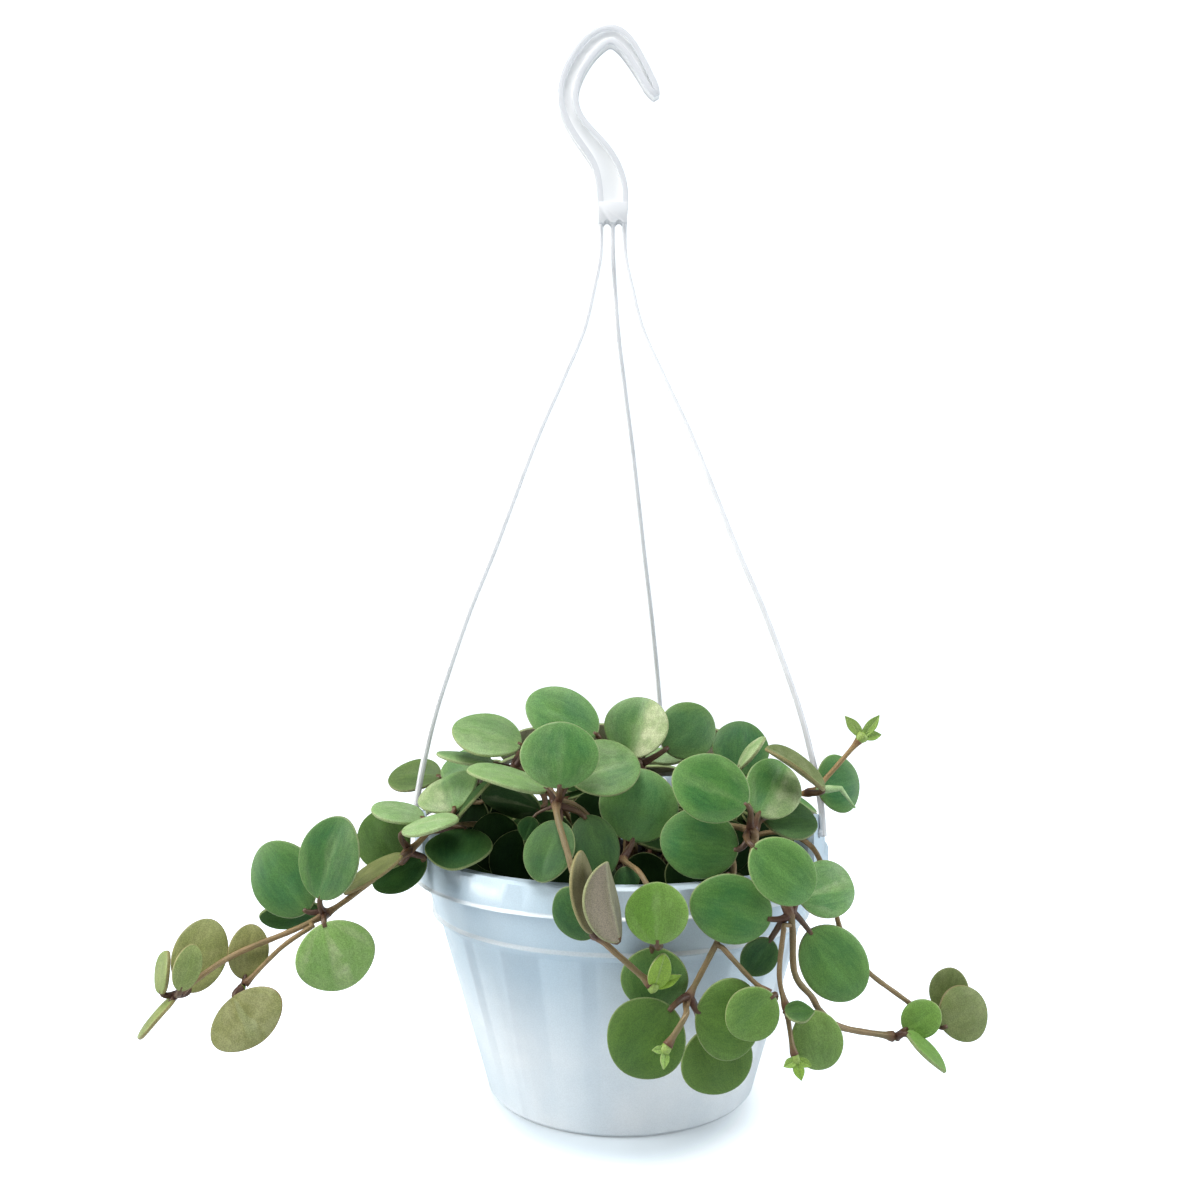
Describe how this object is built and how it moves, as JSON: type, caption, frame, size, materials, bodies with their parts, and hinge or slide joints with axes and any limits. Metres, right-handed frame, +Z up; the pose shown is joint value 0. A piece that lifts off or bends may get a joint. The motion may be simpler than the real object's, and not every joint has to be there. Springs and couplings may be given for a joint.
{
  "type": "potted peperomia",
  "caption": "Trailing house plant with small round leaves on brown stems, in a tapered white pot with a hook and strands to hang it by, standing on its base.",
  "frame": {"origin": "centre of the pot's flat underside", "axes": "+X to the right seen from the front, +Y to the back, +Z up"},
  "size_m": [0.2623, 0.1877, 0.3858],
  "materials": {
    "pot_plastic": "smooth white moulded plastic, soft shine",
    "hanger_plastic": "slightly milky white moulded plastic",
    "soil": null,
    "leaf": null,
    "stem": null
  },
  "bodies": {
    "root": {"hanger": "hanger_plastic", "leaves_back_1": "leaf", "leaves_back_2": "leaf", "leaves_back_left_1": "leaf", "leaves_back_left_2": "leaf", "leaves_back_right_1": "leaf", "leaves_back_right_2": "leaf", "leaves_crown_1": "leaf", "leaves_crown_2": "leaf", "leaves_front_1": "leaf", "leaves_front_2": "leaf", "leaves_front_3": "leaf", "leaves_left_1": "leaf", "leaves_left_2": "leaf", "leaves_left_3": "leaf", "leaves_left_4": "leaf", "leaves_left_low_1": "leaf", "leaves_lower_1": "leaf", "leaves_lower_2": "leaf", "leaves_lower_branch_1": "leaf", "leaves_mid_1": "leaf", "leaves_mid_2": "leaf", "leaves_middle_1": "leaf", "leaves_right_1": "leaf", "leaves_right_2": "leaf", "leaves_right_3": "leaf", "leaves_right_tip_1": "leaf", "leaves_right_tip_2": "leaf", "leaves_shoot_1": "leaf", "leaves_shoot_2": "leaf", "leaves_side_back_1": "leaf", "leaves_side_left_1": "leaf", "leaves_side_right_1": "leaf", "leaves_upper_left_1": "leaf", "leaves_upper_left_2": "leaf", "leaves_upper_left_3": "leaf", "leaves_upper_right_1": "leaf", "pot": "pot_plastic", "soil": "soil", "stem_back": "stem", "stem_back_left": "stem", "stem_back_right": "stem", "stem_crown": "stem", "stem_front": "stem", "stem_left": "stem", "stem_left_low": "stem", "stem_lower": "stem", "stem_lower_branch": "stem", "stem_mid": "stem", "stem_middle": "stem", "stem_right": "stem", "stem_right_tip": "stem", "stem_shoot": "stem", "stem_side_back": "stem", "stem_side_left": "stem", "stem_side_right": "stem", "stem_upper_left": "stem", "stem_upper_right": "stem"}
  },
  "joints": []
}
